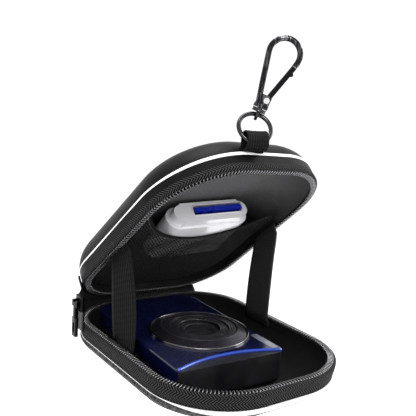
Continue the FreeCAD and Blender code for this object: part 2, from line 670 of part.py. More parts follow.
keep("battery", box("cell", (32, 20, 6.0), (-23.5, 14, 4.5)), CAMERA)
door = box("door_plate", ("dims.cam_wall", 20, 4.0), (-HALF_W, 16, 3.5))
keep("battery_door", fillet("door_edges", door, 0.3, lambda e: abs(e.BoundBox.XMax + HALF_W) < 1e-4), CAMERA)
bush_bore = rod("bush_bore", 2.55, 8, (-HALF_W - 1, -6, SIDE_Z), X)
keep("tripod_bush", cut("bush_cut", rod("bush", 3.35, 5.5, (-HALF_W, -6, SIDE_Z), X), bush_bore), CAMERA)

CAP_LENGTH = 2.7
shutter = rod("shutter_cap", 2.8, CAP_LENGTH, (HALF_W - 1.8, SHUTTER_Y, SIDE_Z), X)
keep("shutter_button", shutter, CAMERA)
keep("power_button", rod("power_cap", 1.8, 2.2, (HALF_W - 1.8, POWER_Y, SIDE_Z), X), CAMERA)
lever_disc = rod("lever_disc", 4.3, 1.0, (HALF_W + 0.05, SHUTTER_Y, SIDE_Z), X)
lever_nub = box("lever_nub", (1.6, 1.6, 1.8), (HALF_W + 0.05, SHUTTER_Y - 0.8, SIDE_Z + 3.2))
lever_bore = rod("lever_bore", 3.1, 4, (HALF_W - 1, SHUTTER_Y, SIDE_Z), X)
keep("zoom_lever", cut("lever_cut", fuse("lever_solid", lever_disc, lever_nub), lever_bore), CAMERA)
keep("control_pad", rod("pad_cap", 6.5, 1.8, (-6, 27, 0.1)), CAMERA)
keep("menu_button", rod("menu_cap", 2.2, 1.8, (11, 34, 0.1)), CAMERA)
keep("play_button", rod("play_cap", 2.2, 1.8, (11, 20, 0.1)), CAMERA)
screws = [rod("screw_%d" % n, 1.25, 1.1, (side * (HALF_W - 0.1) - (1.1 if side > 0 else 0), y, SIDE_Z), X)
          for n, (side, y) in enumerate(SCREWS)]
keep("case_screws", fuse("screw_set", *screws), CAMERA)

# ---------------------------------------------------------------- card reader
def lozenge(name, width, thick, low, length):
    """A flat bar with round sides, long in Y."""
    r = value_of(thick) / 2
    x = value_of(width) / 2 - r
    core = box(name + "_core", (2 * x, length, thick), (-x, low, -r))
    sides = [rod("%s_side_%d" % (name, n), "0.5 * %s" % thick, length, (px, low, 0), Y)
             for n, px in enumerate((-x, x))]
    return fuse(name, core, *sides)


def reader_solid(name):
    body = lozenge(name + "_body", "dims.reader_width", "dims.reader_thick", 5.0, DIMS["reader_length"] - 5)
    neck = lozenge(name + "_neck", "dims.reader_width - 2.6", "dims.reader_thick - 1.6", 0.0, 6.0)
    return fuse(name, body, neck)


SLOT_X = 4.0


def slot_prism(name):
    """The six-sided mouth that the memory card slides into."""
    half, cham, low, high = DIMS["card_width"] / 2 + 0.6, 1.7, -2.0, 3.7
    body = new_body(name)
    sketch = new_sketch(body, name + "_face", "XZ_Plane", 1.0)
    ring = [(-half, low), (half - cham, low), (half, low + cham), (half, high), (-half + cham, high),
            (-half, high - cham)]
    for n, (px, pz) in enumerate(ring):
        qx, qz = ring[(n + 1) % len(ring)]
        sketch.addGeometry(Part.LineSegment(V(px + SLOT_X, pz, 0), V(qx + SLOT_X, qz, 0)), False)
    feature = pad(body, name + "_pad", sketch, 31.0)
    feature.Reversed = True
    doc.recompute()
    return body


for node, low in (("reader_top", 0.03), ("reader_bottom", -20.03)):
    half_space = box(node + "_half", (60, 60, 20), (-30, -10, low))
    half = doc.addObject("Part::Common", node + "_common")
    half.Base, half.Tool = reader_solid(node), half_space
    pocket = box(node + "_pocket", (26, 25, 2.8), (-13, 6, -4.9))
    keep(node, cut(node + "_cut", half, slot_prism(node + "_slot"), pocket), READER)
board = box("reader_pcb", (25, 23, 0.8), (-12.5, 7, -4.2))
connector = box("reader_contacts", (18, 3, 1.3), (-9, 27, -3.5))
keep("reader_board", fuse("reader_board_fused", board, connector), READER)
card = box("card_slab", ("dims.card_width", 28, "dims.card_thick"),
           (SLOT_X - 0.5 * DIMS["card_width"], -0.6, -0.15))
card_edge = fillet("card_edges", card, 0.5, lambda e: e.BoundBox.YLength < 1e-4 and e.BoundBox.XLength < 1e-4)
keep("memory_card", card_edge, READER)

# ---------------------------------------------------------------- check and write
doc.recompute()
for obj in doc.Objects:
    if "Invalid" in obj.State or "Error" in obj.State:
        raise RuntimeError("%s (%s) is %s" % (obj.Name, obj.Label, obj.State))
os.makedirs("parts", exist_ok=True)
for node, obj in parts.items():
    shape = obj.Shape
    if shape.isNull() or not shape.isValid():
        raise RuntimeError("%s has no valid shape" % node)
    shape.exportStep("parts/%s.step" % node)
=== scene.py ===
"""Open zip case on a snap hook, with a compact camera and a card reader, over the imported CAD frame.

Lengths are in millimetres inside the helpers and become metres when a mesh is made.
"""
import json
import math

import bmesh
import bpy
from mathutils import Matrix, Vector, noise


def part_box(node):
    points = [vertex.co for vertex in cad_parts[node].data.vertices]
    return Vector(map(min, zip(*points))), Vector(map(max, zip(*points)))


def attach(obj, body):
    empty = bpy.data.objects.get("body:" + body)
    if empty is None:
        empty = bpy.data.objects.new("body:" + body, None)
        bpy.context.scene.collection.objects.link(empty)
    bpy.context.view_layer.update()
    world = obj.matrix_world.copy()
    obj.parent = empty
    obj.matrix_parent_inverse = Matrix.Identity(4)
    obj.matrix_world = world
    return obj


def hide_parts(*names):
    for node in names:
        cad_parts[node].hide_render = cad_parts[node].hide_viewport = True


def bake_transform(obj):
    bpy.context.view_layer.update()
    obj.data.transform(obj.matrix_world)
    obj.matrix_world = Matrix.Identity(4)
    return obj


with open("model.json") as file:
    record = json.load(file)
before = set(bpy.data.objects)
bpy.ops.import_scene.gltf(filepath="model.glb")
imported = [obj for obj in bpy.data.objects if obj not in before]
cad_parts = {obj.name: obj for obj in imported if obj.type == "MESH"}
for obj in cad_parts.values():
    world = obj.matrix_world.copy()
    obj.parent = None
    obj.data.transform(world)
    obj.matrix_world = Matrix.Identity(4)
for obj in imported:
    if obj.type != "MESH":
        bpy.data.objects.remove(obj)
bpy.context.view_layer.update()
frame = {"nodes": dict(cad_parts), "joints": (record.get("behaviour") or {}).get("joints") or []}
NODES = frame["nodes"]
V = Vector

# ------------------------------------------------------------------ design sizes, as in the solids
HALF_W, HALF_D, FRONT_R, BACK_R = 44.2, 57.7, 33.2, 27.2
RIM, BAND = 15.5, 7.5
LID_RIM = RIM + 0.4
LID_HEIGHT = 20.5


def turn(axis, degrees):
    return Matrix.Rotation(math.radians(degrees), 4, axis)


def place(x, y, z, *turns):
    m = Matrix.Translation((x, y, z))
    for t in turns:
        m = m @ t
    return m


HINGE = next(j for j in frame["joints"] if j["name"] == "lid_hinge")
PIVOT = V(HINGE["pos_m"]) * 1000
LID = (Matrix.Translation(PIVOT + V((0.6, 0, 0)))
       @ Matrix.Rotation(math.radians(-HINGE["range_deg"][0]), 4, V(HINGE["axis"]))
       @ Matrix.Translation(-PIVOT))
FLAT = Matrix.Identity(4)
CAMERA = place(-8.6, 5.4, 2.6, turn("Z", -2.42))
READER = LID @ place(6.0, -8.0, LID_RIM + 11.7, turn("Z", -7))
WEB_BASE = LID @ V((-9.0, -58.3, LID_RIM + 9.6))
WEBBING = place(*WEB_BASE, turn("Z", -18), turn("X", 39))


# heights at rest, in millimetres, between which the lid's lining turns from dark to a painted light colour,
# where light falls on it
PAINTED_LIGHT_FROM, PAINTED_LIGHT_OVER = 66.0, 20.0


# ------------------------------------------------------------------ materials
class Mat:
    """A node material: sockets of the shader set directly, textures linked where the surface varies."""

    def __init__(self, name, **sockets):
        self.m = bpy.data.materials.new(name)
        self.m.use_nodes = True
        self.t = self.m.node_tree
        self.bsdf = next(n for n in self.t.nodes if n.type == "BSDF_PRINCIPLED")
        for key, value in sockets.items():
            self.bsdf.inputs[key.replace("_", " ")].default_value = value
        self.coord = self.t.nodes.new("ShaderNodeTexCoord")

    def add(self, kind, values=(), **props):
        n = self.t.nodes.new("ShaderNode" + kind)
        for key, value in props.items():
            setattr(n, key, value)
        for key, value in dict(values).items():
            if isinstance(value, bpy.types.NodeSocket):
                self.t.links.new(value, n.inputs[key])
            else:
                n.inputs[key].default_value = value
        return n

    def place(self, kind="Object", scale=1000.0, angle=0.0):
        n = self.add("Mapping", {"Vector": self.coord.outputs[kind], "Scale": (scale,) * 3})
        n.inputs["Rotation"].default_value = (0, 0, math.radians(angle))
        return n.outputs[0]

    def math(self, op, a, b=0.0):
        return self.add("Math", {0: a, 1: b}, operation=op).outputs[0]

    def noise(self, where, scale, detail=4.0, rough=0.6):
        return self.add("TexNoise", {"Vector": where, "Scale": scale, "Detail": detail,
                                     "Roughness": rough}).outputs[0]

    def ramp(self, factor, *stops):
        n = self.add("ValToRGB", {"Fac": factor})
        band = n.color_ramp
        while len(band.elements) < len(stops):
            band.elements.new(0.5)
        for element, (at, colour) in zip(band.elements, stops):
            element.position = at
            element.color = (*colour, 1) if len(colour) == 3 else colour
        return n.outputs[0]

    def mix(self, factor, a, b):
        n = self.add("Mix", data_type="RGBA")
        for key, value in ((0, factor), (6, a), (7, b)):
            if isinstance(value, bpy.types.NodeSocket):
                self.t.links.new(value, n.inputs[key])
            else:
                n.inputs[key].default_value = value if key == 0 else (*value, 1)
        return n.outputs[2]

    def out(self, socket, value):
        self.t.links.new(value, self.bsdf.inputs[socket])
        return self

    def bump(self, height, strength=0.5, distance=0.0002):
        n = self.add("Bump", {"Height": height, "Strength": strength, "Distance": distance})
        return self.out("Normal", n.outputs[0])


def grey(v):
    return (v, v, v * 1.03)


def twill(name, dark, light, pitch=1.0, fold=1.9, strength=0.9, rough=0.75):
    """Herringbone tape: diagonal ribs that reverse every few millimetres."""
    m = Mat(name, Roughness=rough, Specular_IOR_Level=0.08)
    uv = m.add("SeparateXYZ", {0: m.place("UV", 1.0)})
    zigzag = m.math("PINGPONG", uv.outputs[1], fold)
    wave = m.math("SINE", m.math("MULTIPLY", m.math("ADD", uv.outputs[0], zigzag), 2 * math.pi / pitch))
    fine = m.noise(m.place(), 1.7, 5)
    height = m.math("ADD", m.math("MULTIPLY", wave, 0.5), m.math("MULTIPLY", fine, 0.9))
    m.out("Base Color", m.ramp(m.math("ADD", m.math("MULTIPLY", height, 0.5), 0.25),
                               (0.34, grey(dark)), (0.55, grey(light * 0.25)), (0.74, grey(light))))
    return m.bump(height, strength, 0.0003)


def ribbed(name, dark, light, pitch=0.55, along=0, rough=0.7, selvedge=None):
    """Webbing with ribs across it and a fine yarn texture."""
    m = Mat(name, Roughness=rough, Specular_IOR_Level=0.08)
    uv = m.add("SeparateXYZ", {0: m.place("UV", 1.0)})
    wave = m.math("SINE", m.math("MULTIPLY", uv.outputs[along], 2 * math.pi / pitch))
    cross = m.math("SINE", m.math("MULTIPLY", uv.outputs[1 - along], 2 * math.pi / (pitch * 1.7)))
    yarn = m.noise(m.place(), 2.2, 5)
    height = m.math("ADD", m.math("ADD", m.math("MULTIPLY", wave, 0.45), m.math("MULTIPLY", cross, 0.15)),
                    m.math("MULTIPLY", yarn, 0.7))
    level = m.math("ADD", m.math("MULTIPLY", height, 0.5), 0.3)
    colour = m.ramp(level, (0.25, grey(dark)), (0.9, grey(light)))
    if selvedge:
        edge = m.math("MULTIPLY", m.math("GREATER_THAN", uv.outputs[along], selvedge), 0.75)
        colour = m.mix(edge, colour, grey(light * 1.9))
    m.out("Base Color", colour)
    return m.bump(height, 0.8, 0.00025)


def moulded_weave():
    """The tray's outside: fabric moulded over foam, with a coarse mottled weave."""
    m = Mat("moulded_weave", Roughness=0.72, Specular_IOR_Level=0.15)
    where = m.place()
    cells = m.add("TexVoronoi", {"Vector": where, "Scale": 0.75}).outputs[0]
    blotch = m.noise(where, 0.55, 6, 0.7)
    fine = m.noise(where, 2.4, 3)
    height = m.math("ADD", m.math("MULTIPLY", cells, 0.8),
                    m.math("ADD", blotch, m.math("MULTIPLY", fine, 0.5)))
    m.out("Base Color", m.ramp(m.math("MULTIPLY", height, 0.62), (0.42, grey(0.004)), (0.62, grey(0.016)),
                               (0.86, grey(0.075))))
    return m.bump(height, 0.9, 0.0004)


def soft_black(name, dark=0.010, light=0.022, rough=0.6, grain=1.3, strength=0.25, sheen=0.0, painted_light=None):
    """Smooth coated cloth or velour with a fine nap; painted_light is a lit colour painted on it high up, at
    the lid's front.
    """
    m = Mat(name, Sheen_Weight=sheen, Sheen_Roughness=0.4, Specular_IOR_Level=0.08)
    where = m.place()
    nap = m.noise(where, grain, 6, 0.65)
    patch = m.noise(where, 0.06, 3)
    colour = m.ramp(m.math("ADD", m.math("MULTIPLY", nap, 0.45), m.math("MULTIPLY", patch, 0.55)),
                    (0.35, grey(dark)), (0.68, grey(light)))
    # painted light: the lining turns to a lighter, lit colour high up towards the lid's front
    if painted_light:
        height = m.add("SeparateXYZ", {0: m.place()}).outputs[2]
        uneven = m.math("ADD", height, m.math("MULTIPLY", patch, 12.0))
        rise = m.math("MULTIPLY", m.math("SUBTRACT", uneven, PAINTED_LIGHT_FROM), 1 / PAINTED_LIGHT_OVER)
        lit = m.ramp(nap, (0.3, grey(painted_light * 0.6)), (0.7, grey(painted_light)))
        colour = m.mix(m.add("Clamp", {0: rise}).outputs[0], colour, lit)
    m.out("Base Color", colour)
    m.out("Roughness", m.ramp(nap, (0.3, grey(rough - 0.08)), (0.75, grey(min(1, rough + 0.1)))))
    return m.bump(nap, strength, 0.0002)


def plated(name, colour, rough=0.12, wear=0.1, metallic=1.0, painted_reflection=0.0):
    """Polished or satin metal with faint handling marks, and painted reflections as bright streaks along its
    length.
    """
    m = Mat(name, Metallic=metallic)
    where = m.place()
    smear = m.noise(where, 0.35, 5, 0.7)
    scratch = m.noise(m.add("Mapping", {"Vector": m.coord.outputs["Object"],
                                        "Scale": (4000, 700, 4000)}).outputs[0], 1.0, 3)
    base = m.ramp(smear, (0.3, tuple(c * 0.85 for c in colour)), (0.7, colour))
    # painted reflection: bright streaks of colour along the metal's length
    if painted_reflection:
        reflection_lines = m.noise(m.add("Mapping", {"Vector": m.coord.outputs["Object"],
                                          "Scale": (900, 900, 70)}).outputs[0], 1.0, 2)
        base = m.mix(m.ramp(reflection_lines, (0.50, (0, 0, 0)), (0.68, (1, 1, 1))), base, grey(painted_reflection))
    m.out("Base Color", base)
    m.out("Roughness", m.ramp(smear, (0.3, grey(rough)), (0.75, grey(rough + wear))))
    return m.bump(scratch, 0.04, 0.0001)


def plastic(name, colour, rough=0.2, coat=0.0, grain=2.5, strength=0.03, vary=0.12):
    """Moulded or painted plastic: a slight orange peel and an uneven polish."""
    m = Mat(name, Coat_Weight=coat, Coat_Roughness=0.05)
    where = m.place()
    peel = m.noise(where, grain, 3)
    patch = m.noise(where, 0.09, 3)
    low = tuple(c * (1 - vary) for c in colour)
    high = tuple(min(1, c * (1 + vary)) for c in colour)
    m.out("Base Color", m.ramp(patch, (0.35, low), (0.65, high)))
    m.out("Roughness", m.ramp(patch, (0.3, grey(rough * 0.8)), (0.7, grey(rough * 1.25))))
    return m.bump(peel, strength, 0.0002)


WEAVE = moulded_weave()
DOME = soft_black("coated_black", 0.0012, 0.0045, 0.42, 1.6, 0.3)
LINING = soft_black("velour_black", 0.003, 0.008, 0.85, 2.0, 0.6, 0.02)
# the lid's lining has light painted on it high up at its front
LID_LINING = soft_black("velour_grey_painted_light", 0.003, 0.012, 0.9, 2.0, 0.6, 0.04, painted_light=0.14)
TAPE = twill("zip_tape_twill", 0.0002, 0.050, 1.25, 2.4, 1.0)
CORD = plastic("piping_vinyl", (0.86, 0.86, 0.88), 0.28, 0.2, 1.1, 0.12, 0.03)
TEETH = plated("coil_nylon", (0.20, 0.20, 0.21), 0.10, 0.06, 0.8)
CENTRE = ribbed("coil_stitching", 0.0003, 0.004, 1.15)
GUSSET = ribbed("gusset_cloth", 0.003, 0.014, 0.9)
STAY_LEFT = ribbed("stay_ribbed", 0.0002, 0.014, 1.5, 1, selvedge=16.0)
STAY_RIGHT = ribbed("stay_smooth", 0.012, 0.032, 0.8, 1)
NET = ribbed("net_yarn", 0.003, 0.085, 0.5)
HEM = ribbed("net_binding", 0.002, 0.012, 1.4)
WEB = ribbed("webbing_ribbed", 0.002, 0.012, 1.1, 1)
CHROME = plated("gunmetal_chrome", (0.05, 0.05, 0.053), 0.10, 0.08)
# the hook's bright streaks are painted reflections
HOOK_CHROME = plated("hook_chrome_painted_reflection", (0.02, 0.02, 0.022), 0.10, 0.08, painted_reflection=0.22)
BRIGHT = plated("bright_rivet", (0.85, 0.85, 0.86), 0.08, 0.08)
DARK_METAL = plated("dark_gate", (0.014, 0.014, 0.016), 0.2, 0.1)
BLUE = plastic("navy_gloss", (0.002, 0.003, 0.020), 0.16, 0.1, 3, 0.02, 0.35)
# the lip's bright blue is a painted highlight on the navy cover's curved edge
LIP_HIGHLIGHT = plastic("blue_lip_painted_highlight", (0.003, 0.032, 0.28), 0.16, 0.3, 3, 0.02, 0.1)
BLACK = plastic("black_satin", (0.004, 0.004, 0.005), 0.4, 0.0, 2.5, 0.12, 0.2)
FLASH = plastic("flash_diffuser", (0.13, 0.14, 0.17), 0.14, 0.3, 1.2, 0.6, 0.4)
LENS_CHROME = plated("lens_chrome", (0.24, 0.23, 0.25), 0.12, 0.06)
BEZEL = plated("lens_bezel_satin", (0.05, 0.046, 0.06), 0.26, 0.1, 0.9)
BARREL = plastic("barrel_satin", (0.006, 0.006, 0.008), 0.3, 0.1, 2.0, 0.08, 0.2)
GLASS = plastic("coated_glass", (0.012, 0.010, 0.030), 0.04, 1.0, 0.5, 0.01, 0.3)
WHITE = plastic("white_gloss", (0.86, 0.86, 0.89), 0.10, 0.5, 1.6, 0.02, 0.02)
CARD = plastic("card_blue", (0.006, 0.022, 0.42), 0.25, 0.2, 2.5, 0.05, 0.1)
BOARD = plastic("circuit_green", (0.02, 0.10, 0.05), 0.4, 0.0, 2.0, 0.1, 0.3)
WRAP = plastic("battery_wrap", (0.03, 0.03, 0.035), 0.35, 0.0, 2.0, 0.05, 0.2)
BRASS = plated("bush_brass", (0.62, 0.48, 0.22), 0.22, 0.1)
# the stitches' light grey is a painted highlight on the thread
THREAD_HIGHLIGHT = ribbed("thread_painted_highlight", 0.08, 0.35, 0.4)

# ------------------------------------------------------------------ mesh helpers
def make(name, verts, faces, uvs, material, body=None, matrix=FLAT, slot=None, replaces=(), smooth=True):
    """A mesh object from millimetre points, placed by matrix, riding on a body."""
    mesh = bpy.data.meshes.new(name)
    mesh.from_pydata([(matrix @ V(v)) * 0.001 for v in verts], [], faces)
    if uvs:
        layer = mesh.uv_layers.new(name="UVMap")
        layer.data.foreach_set("uv", [c for uv in uvs for c in uv])
    work = bmesh.new()
    work.from_mesh(mesh)
    bmesh.ops.recalc_face_normals(work, faces=work.faces)
    work.to_mesh(mesh)
    work.free()
    mesh.polygons.foreach_set("use_smooth", [smooth] * len(mesh.polygons))
    mesh.materials.append(material.m)
    obj = bpy.data.objects.new(name, mesh)
    bpy.context.scene.collection.objects.link(obj)
    if replaces:
        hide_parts(*replaces)
    if body:
        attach(obj, body)
    return obj


def grid(points, us, vs, loop_u=False, loop_v=False, caps=False):
    """Vertices, faces and UVs of a grid of points, closed round either way."""
    n, m = len(points), len(points[0])
    verts = [p for row in points for p in row]
    faces, uvs = [], []
    for i in range(n if loop_u else n - 1):
        for j in range(m if loop_v else m - 1):
            i2, j2 = (i + 1) % n, (j + 1) % m
            faces.append((i * m + j, i2 * m + j, i2 * m + j2, i * m + j2))
            uvs += [(us[i], vs[j]), (us[i + 1], vs[j]), (us[i + 1], vs[j + 1]), (us[i], vs[j + 1])]
    if caps:
        for row in (0, n - 1):
            ring = [row * m + j for j in range(m)]
            faces.append(tuple(ring))
            uvs += [(us[row], vs[j]) for j in range(m)]
    return verts, faces, uvs


def lengths(points):
    total = [0.0]
    for a, b in zip(points, points[1:]):
        total.append(total[-1] + (V(b) - V(a)).length)
    return total


def outline(step=1.6):
    """Points and outward normals round the plan of the case, and the length of each from the start."""
    found = []
    corners = ((HALF_W - BACK_R, HALF_D - BACK_R, BACK_R, 90),
               (HALF_W - FRONT_R, FRONT_R - HALF_D, FRONT_R, 0),
               (FRONT_R - HALF_W, FRONT_R - HALF_D, FRONT_R, -90),
               (BACK_R - HALF_W, HALF_D - BACK_R, BACK_R, -180))
    ends = []
    for x, y, r, start in corners:
        count = max(2, round(r * math.pi / 2 / step))
        arc = []
        for k in range(count + 1):
            a = math.radians(start - 90 * k / count)
            out = V((math.cos(a), math.sin(a), 0))
            arc.append((V((x, y, 0)) + out * r, out))
        ends.append(arc)
    for k, arc in enumerate(ends):
        found += arc
        a, b = arc[-1], ends[(k + 1) % 4][0]
        count = max(2, round((b[0] - a[0]).length / step))
        found += [(a[0].lerp(b[0], j / count), a[1]) for j in range(1, count)]
    along = lengths([p for p, _ in found] + [found[0][0]])
    return found, along


PLAN, ALONG = outline()


def left_side(p):
    """1 along the case's left side, fading to 0 round its front corner and at the back."""
    t = min(1, max(0, (-p.x - 8) / 30)) * min(1, max(0, (p.y + 56) / 26))
    return t * t * (3 - 2 * t)


def loft(name, profile, material, body, matrix=FLAT, slot=None, replaces=(), wobble=None):
    """A closed profile of (offset from the rim line, height) carried round the plan of the case.

    The profile may be a function of the place on the plan."""
    points = []
    for k, (p, out) in enumerate(PLAN):
        row = []
        for off, z in (profile(p) if callable(profile) else profile):
            extra = wobble(ALONG[k], off, z) if wobble else 0.0
            row.append(p + out * (off + extra) + V((0, 0, z)))
        points.append(row)
    rim = profile(PLAN[0][0]) if callable(profile) else profile
    vs = lengths([(o, z, 0) for o, z in list(rim) + [rim[0]]])
    return make(name, *grid(points, ALONG, vs, True, True), material, body, matrix, slot, replaces)


def surface(name, profile, thickness, material, body, matrix, slot, replaces, middle, wobble=None):
    """A bowl: an open profile of (offset, height) carried round the plan, closed and given thickness."""
    points = []
    for k, (p, out) in enumerate(PLAN):
        points.append([p + out * (o + (wobble(ALONG[k], o, z) if wobble else 0)) + V((0, 0, z))
                       for o, z in profile])
    vs = lengths([(o, z, 0) for o, z in profile])
    verts, faces, uvs = grid(points, ALONG, vs, True, False)
    m, n = len(profile), len(PLAN)
    centre = len(verts)
    verts.append(V((0, middle[0], middle[1])))
    for i in range(n):
        faces.append((i * m + m - 1, ((i + 1) % n) * m + m - 1, centre))
        uvs += [(ALONG[i], vs[-1]), (ALONG[i + 1], vs[-1]), (ALONG[i], vs[-1] + 20)]
    obj = make(name, verts, faces, uvs, material, None, matrix, slot, replaces)
    up = (matrix.to_3x3() @ V((0, 0, 1)))
    if (obj.data.polygons[-1].normal.dot(up) > 0) == (thickness > 0):
        obj.data.flip_normals()
    solid = obj.modifiers.new("thick", "SOLIDIFY")
    solid.thickness = abs(thickness) * 0.001
    solid.offset = -1
    apply(obj)
    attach(obj, body)
    return obj


def apply(obj):
    """Make the modifiers of an object part of its mesh."""
    for o in bpy.context.selected_objects:
        o.select_set(False)
    bpy.context.view_layer.objects.active = obj
    obj.select_set(True)
    for m in list(obj.modifiers):
        bpy.ops.object.modifier_apply(modifier=m.name)
    obj.data.polygons.foreach_set("use_smooth", [True] * len(obj.data.polygons))


def tube(name, path, radius, material, body, matrix=FLAT, slot=None, sides=10, closed=False, flat=1.0,
         normal=None):
    """A round or flattened rod along a path; normal is the direction in which flat squeezes it."""
    rows = []
    n = len(path)
    for k, p in enumerate(path):
        a = path[(k - 1) % n] if closed or k else path[0]
        b = path[(k + 1) % n] if closed or k < n - 1 else path[-1]
        ahead = (V(b) - V(a)).normalized()
        up = V(normal) if normal else (V((0, 0, 1)) if abs(ahead.z) < 0.9 else V((1, 0, 0)))
        side = ahead.cross(up).normalized()
        up = side.cross(ahead).normalized()
        rows.append([V(p) + (side * math.cos(t) + up * math.sin(t) * flat) * radius
                     for t in (2 * math.pi * j / sides for j in range(sides))])
    us = lengths(list(path) + [path[0]])
    vs = [2 * math.pi * radius * j / sides for j in range(sides + 1)]
    return make(name, *grid(rows, us, vs, closed, True, not closed), material, body, matrix, slot)


def lathe(name, profile, centre, material, body, matrix, slot, steps=96, replaces=()):
    """A closed profile of (radius, height) turned about a vertical axis through centre."""
    rows = []
    for k in range(steps):
        a = 2 * math.pi * k / steps
        rows.append([V((centre[0] + r * math.cos(a), centre[1] + r * math.sin(a), z)) for r, z in profile])
    us = [0.4 * k for k in range(steps + 1)]
    vs = lengths([(r, z, 0) for r, z in list(profile) + [profile[0]]])
    return make(name, *grid(rows, us, vs, True, True), material, body, matrix, slot, replaces)


def ribbon(name, centre, across, width, thick, material, slot=None, replaces=(), columns=10):
    """A flat strap: centre points, the direction across at each, widths, and one thickness."""
    rows = []
    n = len(centre)
    for k in range(n):
        ahead = (centre[min(k + 1, n - 1)] - centre[max(k - 1, 0)]).normalized()
        side = (across[k] - ahead * across[k].dot(ahead)).normalized()
        out = side.cross(ahead).normalized()
        half = width[k] / 2
        row = []
        for j in range(columns + 1):
            x = -half + 2 * half * j / columns
            row.append(centre[k] + side * x + out * thick / 2)
        for j in range(columns, -1, -1):
            x = -half + 2 * half * j / columns
            row.append(centre[k] + side * x - out * thick / 2)
        rows.append(row)
    us = lengths(centre)
    w = max(width)
    vs = [w * j / columns for j in range(columns + 1)]
    vs += vs[::-1] + [0]
    return make(name, *grid(rows, us, vs, False, True, True), material, None, FLAT, slot, replaces)


def declare_sheet(obj, width, length, held, area=None, **kw):
    """Takes the cut of a cloth piece in millimetres, worked out from the design and not from the finished mesh;
    a cut narrower than 10 mm is made 10 mm wide with the same area, and nothing else is done with it.
    """
    if width < 10:
        area, width = area or width * length, 10.0


# ------------------------------------------------------------------ the camera and the room
VIEW_FROM = V((-0.1721, -0.2316, 0.1279))
VIEW_TURN = (79.44, -4.06, -35.31)
VIEW_ANGLE = 35.34

cam = bpy.data.cameras.new("view")
cam.sensor_fit = "HORIZONTAL"
cam.angle = math.radians(VIEW_ANGLE)
cam.clip_start = 0.01
cam_obj = bpy.data.objects.new("view", cam)
bpy.context.scene.collection.objects.link(cam_obj)
cam_obj.location = VIEW_FROM
cam_obj.rotation_euler = [math.radians(a) for a in VIEW_TURN]
bpy.context.scene.camera = cam_obj
bpy.context.scene.view_settings.view_transform = "Standard"

floor_mat = Mat("floor_white", Roughness=0.9)
floor_mat.out("Base Color", floor_mat.ramp(floor_mat.noise(floor_mat.place("Object", 3.0), 2.0),
                                           (0.3, (0.90, 0.90, 0.90)), (0.7, (0.93, 0.93, 0.93))))
floor = make("floor", [(x * 4000, y * 4000, -250.0) for x, y in ((-1, -1), (1, -1), (1, 1), (-1, 1))],
             [(0, 1, 2, 3)], None, floor_mat, smooth=False)

world = bpy.data.worlds.new("room")
bpy.context.scene.world = world
world.use_nodes = True
world.node_tree.nodes["Background"].inputs[0].default_value = (1.0, 1.0, 1.0, 1)
world.node_tree.nodes["Background"].inputs[1].default_value = 1.12


def lamp(name, at, to, size, power, colour=(1, 1, 1)):
    """A rectangular area lamp at one point, aimed at another; lengths in metres, power in watts."""
    data = bpy.data.lights.new(name, "AREA")
    data.shape = "RECTANGLE"
    data.size, data.size_y = size
    data.energy = power
    data.color = colour
    obj = bpy.data.objects.new(name, data)
    obj.location = at
    obj.rotation_euler = (V(to) - V(at)).to_track_quat("-Z", "Y").to_euler()
    bpy.context.scene.collection.objects.link(obj)


lamp("key", (-0.35, -0.75, 0.75), (0, 0, 0.05), (0.5, 0.4), 7)
lamp("side", (0.75, -0.25, 0.35), (0, 0, 0.05), (0.4, 0.6), 5)
lamp("top", (0.0, 0.2, 0.9), (0, 0, 0.05), (0.6, 0.6), 7)

# ------------------------------------------------------------------ case: tray
def bowl_profile(inset, rim_z, base_z, bevel, knee):
    """From the rim down an upright wall, round a bevel and on to the flat base."""
    wall = 0.5 - inset
    top_of_bevel = base_z + bevel
    out = [(wall, rim_z), (wall, rim_z - 0.9), (wall, (rim_z + top_of_bevel) / 2)]
    corner = V((wall, top_of_bevel + knee * 0.3))
    toe = V((wall - bevel, base_z))
    steps = 14
    for k in range(steps + 1):
        t = k / steps
        a, b = V((wall, top_of_bevel + 1.5)), V((wall, base_z + bevel * 0.22))
        c = V((wall - bevel * 1.15, base_z))
        p = a * (1 - t) ** 2 + b * 2 * t * (1 - t) + c * t * t
        bevel_line = corner.lerp(toe, t)
        p = p.lerp(bevel_line, 0.35) if 0 < t < 1 else p
        out.append((p.x, p.y))
    return out + [(wall - bevel - 6, base_z), (-19.5, base_z)]


def quilt(s, off, z):
    """Slow unevenness of hand-laid cloth."""
    return 0.10 * noise.noise(V((s * 0.05, off * 0.1, z * 0.15)))


def sagging(s, off, z):
    """The tray's moulded side swells below the piping along the left side."""
    k = min(range(len(PLAN)), key=lambda n: abs(ALONG[n] - s))
    t = max(0.0, min(1.0, z / 3.5)) * max(0.0, min(1.0, (8.6 - z) / 2.2))
    return quilt(s, off, z) + 1.9 * left_side(PLAN[k][0]) * t


surface("tray_bowl", bowl_profile(0, 13.8, 0.02, 7.5, 5), 1.15, WEAVE, "tray", FLAT, "case_shell",
        ("tray_shell",), (0, 0.02), sagging)
tray_lining = surface("tray_padding", bowl_profile(1.35, 14.4, 1.35, 6.9, 4), 0.72, LINING, "tray", FLAT,
                      "lining", ("tray_lining",), (0, 1.35))


def band_profile(sign, rim):
    """The zip tape, folded over the edge of the wall and drawn in towards the piping."""
    rows = [(0.62, 0.8), (1.1, 0.72), (1.6, 0.84), (1.92, 1.15), (1.98, 1.8), (1.9, 2.8), (1.66, 4.0),
            (1.35, 5.4), (1.05, 6.6), (0.92, 7.5), (0.62, 7.5), (0.62, 4.0)]
    return [(o, rim - sign * z) for o, z in rows]


def band_wobble(s, off, z):
    return 0.05 * noise.noise(V((s * 0.12, z * 0.3, 0.7))) if off > 0.9 else 0.0


def piping_profile(sign, rim, thin):
    """A round cord; hard pulled into the seam, and so slimmer, along the left side."""
    def at(p):
        r = 0.9 * (1 - thin * left_side(p))
        z = rim - sign * (BAND + 0.05 + r)
        return [(1.08 + r * math.cos(2 * math.pi * k / 14),
                 z + r * math.sin(2 * math.pi * k / 14)) for k in range(14)]
    return at


